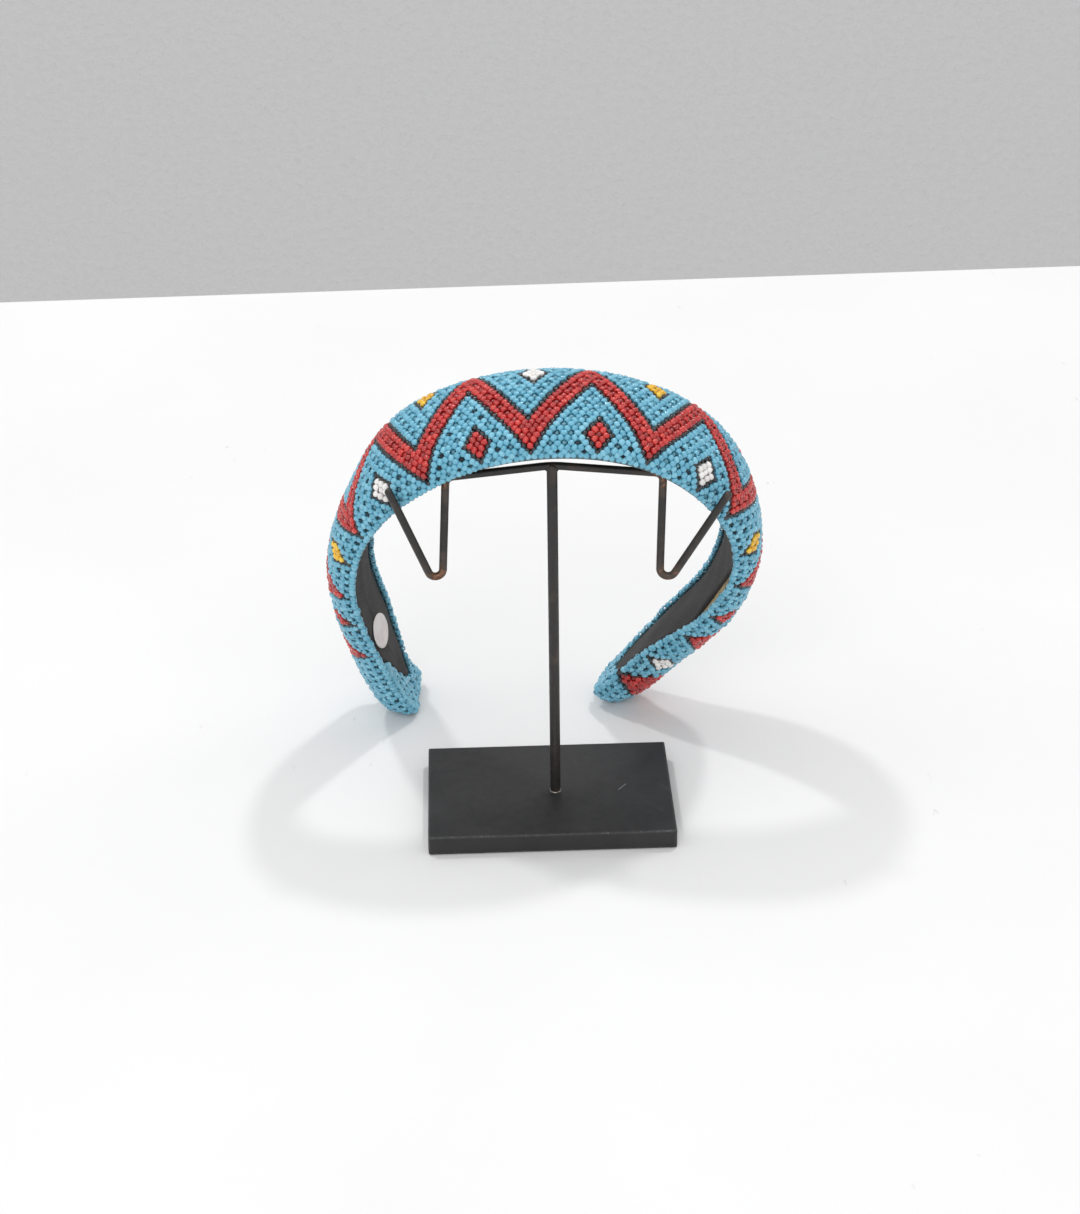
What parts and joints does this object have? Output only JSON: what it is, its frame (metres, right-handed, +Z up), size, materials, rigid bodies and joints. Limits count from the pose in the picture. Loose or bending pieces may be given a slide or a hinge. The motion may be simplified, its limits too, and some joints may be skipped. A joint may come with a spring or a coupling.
{
  "type": "beaded headband on a wire stand",
  "caption": "Padded headband covered in woven seed beads in a zigzag and diamond pattern, leaning over a bent wire stand on a flat plate with its tips on the table.",
  "frame": {"origin": "centre of the base plate's underside, on the table", "axes": "+Z up, +X to the right of someone who looks at the front of the stand, -Y towards them"},
  "size_m": [0.1364, 0.1009, 0.1407],
  "materials": {
    "beads_blue": "opaque light turquoise glass beads with a soft gloss",
    "beads_red": "glossy red glass beads",
    "beads_black": "glossy black glass beads",
    "beads_white": "opaque white glass beads",
    "beads_yellow": "opaque golden yellow glass beads",
    "net_cloth": "matt black cloth under the bead net",
    "tan_strip": "tan stiff strip, satin",
    "black_foam": "soft black padding",
    "charcoal_cloth": "smooth charcoal woven lining",
    "white_paper": "blank white paper sticker",
    "worn_black_paint": "black paint, rubbed to copper brown at the bends",
    "matt_black_plate": "matt black paint with small scratches"
  },
  "bodies": {
    "root": {"bead_net": "beads_blue", "hoop": "tan_strip", "padding": "black_foam", "lining": "charcoal_cloth", "label_sticker": "white_paper", "stand_frame": "worn_black_paint", "base_plate": "matt_black_plate"}
  },
  "joints": []
}
